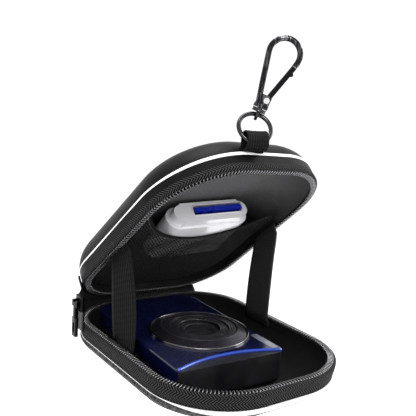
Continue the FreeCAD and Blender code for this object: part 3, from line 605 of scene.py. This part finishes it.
def coil_teeth(name, rim, sign, matrix, body, replaces):
    """Wire loops of the open zip's coil, laid across the edge of the tape, one per tooth."""
    pitch = 1.5
    total = ALONG[-1]
    count = round(total / pitch)
    spots, k = [], 0
    for n in range(count):
        s = total * n / count
        while ALONG[k + 1] < s:
            k += 1
        t = (s - ALONG[k]) / (ALONG[k + 1] - ALONG[k])
        a, b = PLAN[k], PLAN[(k + 1) % len(PLAN)]
        spots.append((a[0].lerp(b[0], t), a[1].lerp(b[1], t).normalized()))
    verts, faces, uvs = [], [], []
    loop = []
    steps, sides = 12, 6
    for j in range(steps):
        a = 2 * math.pi * j / steps
        x = -0.55 + 1.25 * math.copysign(abs(math.cos(a)) ** 0.55, math.cos(a))
        z = 0.36 * math.copysign(abs(math.sin(a)) ** 0.7, math.sin(a))
        y = 0.16 * math.sin(a) + 0.10 * math.cos(a)
        loop.append((x, y, z))
    for p, out in spots:
        along = V((-out.y, out.x, 0))
        base = len(verts)
        for j, (x, y, z) in enumerate(loop):
            x1, y1, z1 = loop[(j + 1) % steps]
            x0, y0, z0 = loop[(j - 1) % steps]
            ahead = (out * (x1 - x0) + along * (y1 - y0) + V((0, 0, z1 - z0))).normalized()
            up = V((0, 0, 1)) if abs(ahead.z) < 0.8 else out
            side = ahead.cross(up).normalized()
            up = side.cross(ahead)
            head = 0.27
            centre = p + out * x + along * y + V((0, 0, rim - sign * (0.72 - z * sign)))
            for i in range(sides):
                t = 2 * math.pi * i / sides
                verts.append(centre + side * math.cos(t) * head + up * math.sin(t) * head)
        for j in range(steps):
            for i in range(sides):
                j2, i2 = (j + 1) % steps, (i + 1) % sides
                faces.append((base + j * sides + i, base + j2 * sides + i, base + j2 * sides + i2,
                              base + j * sides + i2))
                uvs += [(0, 0), (0.3, 0), (0.3, 0.3), (0, 0.3)]
    return make(name, verts, faces, uvs, TEETH, body, matrix, "zip_coil", replaces)


# how much slimmer the piping is along the left side, where it is pulled into the seam
TRAY_PIPING_THIN, LID_PIPING_THIN = 0.86, 0.3


def zip_parts(prefix, rim, sign, matrix, body):
    """One half of the zip: its tape, the piping under it and the coil; sign is 1 on the tray, -1 on the lid."""
    tape = loft(prefix + "_tape", band_profile(sign, rim), TAPE, body, matrix, "zip_tape",
                (prefix + "_zip_band",), band_wobble)
    thin = TRAY_PIPING_THIN if sign > 0 else LID_PIPING_THIN
    cord = piping_profile(sign, rim, thin)
    loft(prefix + "_cord", cord, CORD, body, matrix, "piping", (prefix + "_piping",))
    coil_teeth(prefix + "_teeth", rim, sign, matrix, body, (prefix + "_zip_coil",))
    # a woven core runs through the loops, and the tape's edge lies under them
    core = [(-0.85 + 0.62 * math.cos(2 * math.pi * k / 10),
             rim - sign * (0.72 + 0.30 * math.sin(2 * math.pi * k / 10))) for k in range(10)]
    loft(prefix + "_coil_core", core, CENTRE, body, matrix, "zip_coil")
    under = [(0.62, 1.05), (0.3, 1.2), (-1.0, 1.25), (-1.9, 1.3), (-1.9, 1.6), (0.62, 1.6)]
    under = [(o, rim - sign * z) for o, z in under]
    edge = loft(prefix + "_tape_edge", under, TAPE, body, matrix, "zip_tape")
    girth = lengths([(o, z, 0) for o, z in band_profile(sign, rim)[:10]])[-1]
    declare_sheet(tape, girth, ALONG[-1], "stretched", rests_on=[prefix + "_shell"], with_pieces=[edge])


zip_parts("tray", RIM, 1, FLAT, "tray")

# ------------------------------------------------------------------ case: lid
def dome_profile(inset, low, crown, radius):
    wall = 0.5 - inset
    out = [(wall, low), (wall, low + 0.8), (wall, (low + crown - radius) / 2)]
    for a in range(0, 91, 6):
        out.append((wall - radius + radius * math.cos(math.radians(a)),
                    crown - radius + radius * math.sin(math.radians(a))))
    return out + [(wall - radius - 3, crown), (-19.5, crown)]


CROWN = LID_RIM + LID_HEIGHT
surface("lid_dome", dome_profile(0, LID_RIM + 1.7, CROWN, 14), 1.15, DOME, "lid", LID, "case_shell",
        ("lid_shell",), (0, CROWN), quilt)
lid_lining = surface("lid_padding", dome_profile(1.35, LID_RIM + 1.2, CROWN - 1.35, 12.7), 0.72, LID_LINING,
                     "lid", LID, "lid_lining", ("lid_lining",), (0, CROWN - 1.35))
zip_parts("lid", LID_RIM, -1, LID, "lid")

# ------------------------------------------------------------------ hinge cloth and stays
def edge_point(s, off):
    """The point at length s from the middle of the hinge side, off outside the plan, and its outward normal."""
    flat = HALF_W - BACK_R
    side, s = math.copysign(1, s), abs(s)
    if s <= flat:
        return V((side * s, HALF_D + off, 0)), V((0, 1, 0))
    a = min((s - flat) / BACK_R, math.pi / 2)
    rest = max(0.0, s - flat - BACK_R * math.pi / 2)
    out = V((side * math.sin(a), math.cos(a), 0))
    return V((side * flat, HALF_D - BACK_R, 0)) + out * (BACK_R + off) - V((0, rest, 0)), out


def gusset():
    """Cloth across the hinge: tucked on both bands, with soft folds where the gap opens."""
    flat = HALF_W - BACK_R
    left, right = flat + BACK_R * 1.2, flat + BACK_R * 0.54
    rows, stations = [], [-left + (left + right) * k / 80 for k in range(81)]
    for s in stations:
        row_out, row_in = [], []
        for off, row in ((3.0, row_out), (2.25, row_in)):
            p, out = edge_point(s, off)
            tray_end = [p + V((0, 0, z)) for z in (RIM - 5.5, RIM - 3.5, RIM - 1.6, RIM - 0.2)]
            lid_end = [LID @ (p + V((0, 0, LID_RIM + z))) for z in (0.2, 1.6, 3.5, 5.5)]
            gap = (lid_end[0] - tray_end[-1]).length
            middle = []
            for k in range(1, 8):
                t = k / 8
                sag = math.sin(math.pi * t)
                fold = 0.35 * math.sin(6 * math.pi * t) * min(1, gap / 6)
                middle.append(tray_end[-1].lerp(lid_end[0], t) + out * (0.6 * sag + fold))
            row += tray_end + middle + lid_end
        rows.append(row_out + row_in[::-1])
    us = lengths([r[0] for r in rows])
    m = len(rows[0]) // 2
    down = lengths(rows[40][:m])
    vs = down + down[::-1] + [0]
    obj = make("hinge_gusset", *grid(rows, us, vs, False, True, True), GUSSET, None, FLAT, "gusset",
               ("hinge_spine",))
    # a strip as long as the hinge line and as deep as each station, so deepest at its ends
    deep = [lengths(r[:m])[-1] for r in rows]
    long = left + right
    return obj, (max(deep), long, "folded", sum(deep) / len(deep) * long)


piece, GUSSET_CUT = gusset()
declare_sheet(piece, *GUSSET_CUT, rests_on=["tray_zip_band", "lid_zip_band"])
ACROSS = V((0, math.sin(math.radians(21.1)), math.cos(math.radians(21.1))))
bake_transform(piece)


def stay(name, side, tray_y, lid_y, narrow, material, node, twist):
    """A cloth stay sewn inside the tray's wall and the lid's, which stops the lid at its open angle."""
    tray_pts = [V((side * x, tray_y, z)) for x, z in ((41.95, 10.2), (41.9, 11.6), (41.3, 13.0), (40.5, 14.2),
                                                     (40.4, RIM + 1.2))]
    lid_pts = [LID @ V((side * x, lid_y, z)) for x, z in ((40.4, LID_RIM - 1.2), (40.5, LID_RIM + 0.8),
                                                         (41.4, LID_RIM + 2.0), (41.9, LID_RIM + 3.1))]
    a, b = tray_pts[-1], lid_pts[0]
    span = [a.lerp(b, k / 26) for k in range(1, 26)]
    centre = tray_pts + span + lid_pts
    tray_across, lid_across = V((0, 1, 0)), (LID.to_3x3() @ V((0, 1, 0)))
    across, width = [], []
    for k, p in enumerate(centre):
        t = min(1, max(0, (k - len(tray_pts) + 1) / 26))
        ease = t * t * (3 - 2 * t)
        direction = tray_across.lerp(lid_across, ease)
        direction += V((twist * math.sin(math.pi * t) * 0.5, 0, 0))
        across.append(direction.normalized())
        width.append(17.0 + (narrow - 17.0) * ease)
        centre[k] = p + V((side * -0.5 * math.sin(math.pi * t), 0, 0))
    obj = ribbon(name, centre, across, width, 0.85, material, "stay", (node,))
    declare_sheet(obj, 17.0, lengths(centre)[-1], "stretched", rests_on=["tray_lining", "lid_lining"])
    (a + V((0, 0, 0.5))) * 0.001
    (b - V((0, 0, 0.5))) * 0.001
    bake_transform(obj)
    return obj


stay("stay_left", -1, 4.0, 9.0, 15.5, STAY_LEFT, "strap_left", -0.25)
stay("stay_right", 1, 11.4, -2.5, 16.5, STAY_RIGHT, "strap_right", 0.0)

# ------------------------------------------------------------------ mesh pocket
MESH_Z = LID_RIM + 4.9
MOUTH, MOUTH_Y, MESH_FRONT = 40.0, -34.0, -13.5


def inside_case(x, y, off):
    """How far inside the plan of the case a point lies, negative outside it."""
    r = (BACK_R if y > 0 else FRONT_R) + off
    w, d = HALF_W + off, HALF_D + off
    dx, dy = abs(x) - (w - r), abs(y) - (d - r)
    if dx > 0 and dy > 0:
        return r - math.hypot(dx, dy)
    return min(w - abs(x), d - abs(y))


def pocket_net():
    """Net behind a concave mouth: square cells set on the diagonal, with yarn as real geometry."""
    pitch = 1.3
    off = 0.5 - 2.1 - 0.6
    keep_points, faces = {}, []

    def node_at(i, j):
        if (i, j) not in keep_points:
            x, y = (i - j) * pitch / math.sqrt(2), 10 + (i + j) * pitch / math.sqrt(2)
            lift = 0.25 + 0.30 * noise.noise(V((x * 0.09, y * 0.09, 1.0)))
            jitter = V((noise.noise(V((x, y, 5))), noise.noise(V((x, y, 9))), 0)) * 0.25
            keep_points[(i, j)] = (len(keep_points), V((x, y, MESH_Z + lift)) + jitter, (x, y))
        return keep_points[(i, j)]

    for i in range(-60, 61):
        for j in range(-60, 61):
            x, y = (i - j) * pitch / math.sqrt(2), 10 + (i + j + 1) * pitch / math.sqrt(2)
            if inside_case(x, y, off) < 0.8 or y < MESH_FRONT + 1:
                continue
            if math.hypot(x, y - MOUTH_Y) < MOUTH + 1.2:
                continue
            faces.append(tuple(node_at(a, b)[0] for a, b in ((i, j), (i + 1, j), (i + 1, j + 1), (i, j + 1))))
    ordered = sorted(keep_points.values(), key=lambda entry: entry[0])
    uvs = [ordered[k][2] for f in faces for k in f]
    obj = make("pocket_net", [e[1] for e in ordered], faces, uvs, NET, None, LID, "mesh", ("mesh_pocket",))
    cut_area = sum(p.area for p in obj.data.polygons)
    wire = obj.modifiers.new("yarn", "WIREFRAME")
    wire.thickness = 0.00043
    wire.use_boundary = True
    wire.use_even_offset = False
    apply(obj)
    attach(obj, "lid")
    return obj, cut_area


net, net_area = pocket_net()


def mouth_points(radius):
    """Points along the pocket's mouth, from the left wall to the right, on a circle in the lid."""
    pts = []
    for k in range(181):
        a = math.radians(180 - k)
        x, y = radius * math.cos(a), MOUTH_Y + radius * math.sin(a)
        if inside_case(x, y, 0.5 - 2.1 - 0.4) > 0 and y > MESH_FRONT:
            pts.append(V((x, y, MESH_Z + 0.25)))
    return pts


hem_path = mouth_points(MOUTH + 1.2)
hem = tube("pocket_hem", hem_path, 1.15, HEM, "lid", LID, "mesh", 12, flat=0.3, normal=(0, 0, 1))
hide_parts("pocket_binding")
STITCH_INSET = 0.55
stitch_verts, stitch_faces, stitch_uvs = [], [], []
for a, b in zip(hem_path[::2], hem_path[1::2]):
    mid, ahead = (a + b) / 2, (b - a).normalized()
    side = V((-ahead.y, ahead.x, 0))
    base = len(stitch_verts)
    for t in (-0.5, -0.2, 0.2, 0.5):
        for q in range(6):
            ang = 2 * math.pi * q / 6
            r = 0.2 * math.cos(t * 1.6)
            stitch_verts.append(mid + ahead * t * 1.0 + side * (STITCH_INSET + r * math.cos(ang))
                                + V((0, 0, -0.22 + 0.6 * r * math.sin(ang))))
    for t in range(3):
        for q in range(6):
            q2 = (q + 1) % 6
            ring = base + t * 6
            stitch_faces.append((ring + q, ring + 6 + q, ring + 6 + q2, ring + q2))
            stitch_uvs += [(0, 0)] * 4
    stitch_faces += [tuple(base + q for q in range(6)), tuple(base + 18 + q for q in range(6))]
    stitch_uvs += [(0, 0)] * 12
# stitches along the hem, light grey as a painted highlight
stitches = make("pocket_stitches", stitch_verts, stitch_faces, stitch_uvs, THREAD_HIGHLIGHT, "lid", LID, "mesh")
declare_sheet(net, 2 * (HALF_W - 2.2), HALF_D - 2.2 - MESH_FRONT, "stretched", net_area * 1e6,
              rests_on=["lid_lining"], with_pieces=[hem, stitches])

# ------------------------------------------------------------------ webbing loop
def webbing():
    """One ribbed tape folded round the ring, its two plies sewn together on the lid."""
    eye, radius, width = V((0, 0.7, 6.2)), 3.82, 9.4
    path = [V((0, -0.75, 0.7)), V((0, -0.85, 1.1)), V((0, -0.95, 1.6))]
    for k in range(15):
        a = math.radians(232 - 284 * k / 14)
        path.append(eye + V((0, math.cos(a), math.sin(a))) * radius)
    path += [V((0, 0.95, 0.6)), V((0, 0.7, -0.4)), V((0, 0.6, -1.6))]
    rows = []
    n = len(path)
    for k, p in enumerate(path):
        ahead = (path[min(k + 1, n - 1)] - path[max(k - 1, 0)]).normalized()
        out = V((1, 0, 0)).cross(ahead).normalized()
        top = max(0.0, (p.z - eye.z) / radius)
        half = width / 2 * (1 - 0.05 * top)
        row = []
        for sign, cols in ((1, range(0, 13)), (-1, range(12, -1, -1))):
            for c in cols:
                x = -half + 2 * half * c / 12
                dip = -0.35 * top * (1 - (x / half) ** 2)
                row.append(p + V((x, 0, dip)) + out * sign * 0.38)
        rows.append(row)
    us = lengths(path)
    cols = [width * c / 12 for c in range(13)]
    obj = make("carry_loop", *grid(rows, us, cols + cols[::-1] + [0], False, True, True), WEB, "lid", WEBBING,
               "webbing", ("webbing_loop",))
    return obj, us[-1]


loop, WEB_LENGTH = webbing()
declare_sheet(loop, 9.4, WEB_LENGTH, "folded", rests_on=["lid_shell"])

# ------------------------------------------------------------------ carried-over solids
FINISHES = {
    CHROME: ("key_ring", "swivel_eye"),
    HOOK_CHROME: ("hook_frame",),
    BRIGHT: ("gate_rivet", "case_screws"),
    DARK_METAL: ("hook_gate", "zip_slider", "zip_puller"),
    BLUE: ("camera_front",),
    FLASH: ("flash_window",),
    BLACK: ("camera_rear", "zoom_lever", "control_pad", "menu_button", "play_button", "battery_door"),
    LENS_CHROME: ("lens_trim_ring", "shutter_button", "power_button", "flash_reflector"),
    BEZEL: ("lens_bezel",),
    BARREL: ("lens_housing", "lens_barrel_outer", "lens_barrel_inner", "lens_shutter_blades"),
    GLASS: ("lens_glass", "lcd_window", "timer_lamp", "lcd_panel"),
    BOARD: ("main_board", "reader_board", "image_sensor"),
    WRAP: ("battery",),
    BRASS: ("tripod_bush",),
    WHITE: ("reader_top", "reader_bottom"),
    CARD: ("memory_card",),
}
for finish, names in FINISHES.items():
    for name in names:
        obj = NODES[name]
        if not obj.material_slots:
            obj.data.materials.append(finish.m)
        for slot in obj.material_slots:
            slot.material = finish.m


# ------------------------------------------------------------------ swivel
SPIN = next(j for j in frame["joints"] if j["name"] == "hook_spin")
EYE = next(j for j in frame["joints"] if j["name"] == "eye_swing")
UPRIGHT = V((0, 0, 1)).rotation_difference(V(SPIN["axis"])).to_matrix().to_4x4()
SWIVEL = Matrix.Translation(V(EYE["pos_m"]) * 1000) @ UPRIGHT
# a flared drum round the eye's stem, just above the ring
CUP = [(1.2, 2.75), (2.9, 2.75), (3.2, 2.45), (2.85, 2.15), (2.85, 1.8), (3.15, 1.5), (2.9, 1.1), (2.5, 1.1),
       (2.4, 2.1), (1.2, 2.2)]
lathe("swivel_cup", CUP, (0, 0), CHROME, "eye", SWIVEL, "gunmetal", 64)


# ------------------------------------------------------------------ camera details
def centre_of(node):
    low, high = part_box(node)
    return (low + high) * 500, high.z * 1000


lens, lens_top = centre_of("lens_barrel_inner")
here = (lens.x, lens.y)


def grooves(low, r0, r1, count, depth):
    """The top of a disc with turned rings, from radius r0 out to r1."""
    rows = []
    for k in range(count):
        a = r0 + (r1 - r0) * k / count
        b = r0 + (r1 - r0) * (k + 0.5) / count
        rows += [(a, low), (a + 0.08, low + depth), (b, low + depth), (b + 0.08, low)]
    return rows


bezel_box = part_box("lens_bezel")
outer_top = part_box("lens_barrel_outer")[1].z * 1000
lathe("lens_face_rings", [(9.55, lens_top - 0.5)] + grooves(lens_top + 0.02, 9.6, 13.1, 6, 0.06)
      + [(13.1, lens_top - 0.5)], here, BARREL, "barrel_inner", FLAT, "lens_barrel")
lathe("lens_front_ring", [(13.6, outer_top - 0.6)] + grooves(outer_top + 0.02, 13.65, 16.85, 3, 0.06)
      + [(16.9, outer_top - 0.6)], here, BEZEL, "barrel_outer", FLAT, "lens_barrel")
blade_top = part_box("lens_shutter_blades")[1].z * 1000
lathe("lens_name_ring", [(6.4, blade_top + 0.02), (6.5, blade_top + 0.22), (9.0, blade_top + 0.34),
                         (9.3, blade_top + 0.1), (9.3, blade_top + 0.02)], here, BARREL, "barrel_inner", FLAT,
      "lens_barrel")
bezel_top = bezel_box[1].z * 1000
lathe("bezel_bright_edge", [(17.45, bezel_top - 0.1), (17.5, bezel_top + 0.08), (17.7, bezel_top + 0.14),
                            (17.95, bezel_top + 0.05), (18.05, bezel_top - 0.12)], here, BEZEL, "camera",
      FLAT, "lens_chrome")
trim_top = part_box("lens_trim_ring")[1].z * 1000
roll = [(22.45 + 0.42 * math.cos(a), trim_top - 0.12 + 0.34 * math.sin(a))
        for a in (2 * math.pi * k / 10 for k in range(10))]
lathe("lens_base_roll", roll, here, LENS_CHROME, "camera", FLAT, "lens_chrome")


def lip_path():
    """The curved near edge of the cover, in the camera's own frame."""
    half_w, half_l, depth = 27.0, 41.0, 6.0
    r = (half_w ** 2 + depth ** 2) / (2 * depth)
    y0 = -half_l + 0.8 + depth - r
    pts = []
    for k in range(41):
        x = -26.2 + 52.4 * k / 40
        pts.append(V((x, y0 + math.sqrt(r * r - x * x) + 0.35, 14.75)))
    return pts


# the cover's lip, coloured with a painted highlight
tube("cover_lip", lip_path(), 0.82, LIP_HIGHLIGHT, "camera", CAMERA, "blue_cover", 12)

# ------------------------------------------------------------------ reader details
SLOT_X = 4.0
half, cham, low, high = 14.4, 1.7, -2.0, 3.7
slot_ring = [(-half, low), (half - cham, low), (half, low + cham), (half, high), (-half + cham, high),
             (-half, high - cham)]
tube("reader_slot_edge", [V((x + SLOT_X, -0.05, z)) for x, z in slot_ring], 0.28, WHITE, "reader", READER,
     "white_plastic", 8, closed=True, normal=(0, 1, 0))
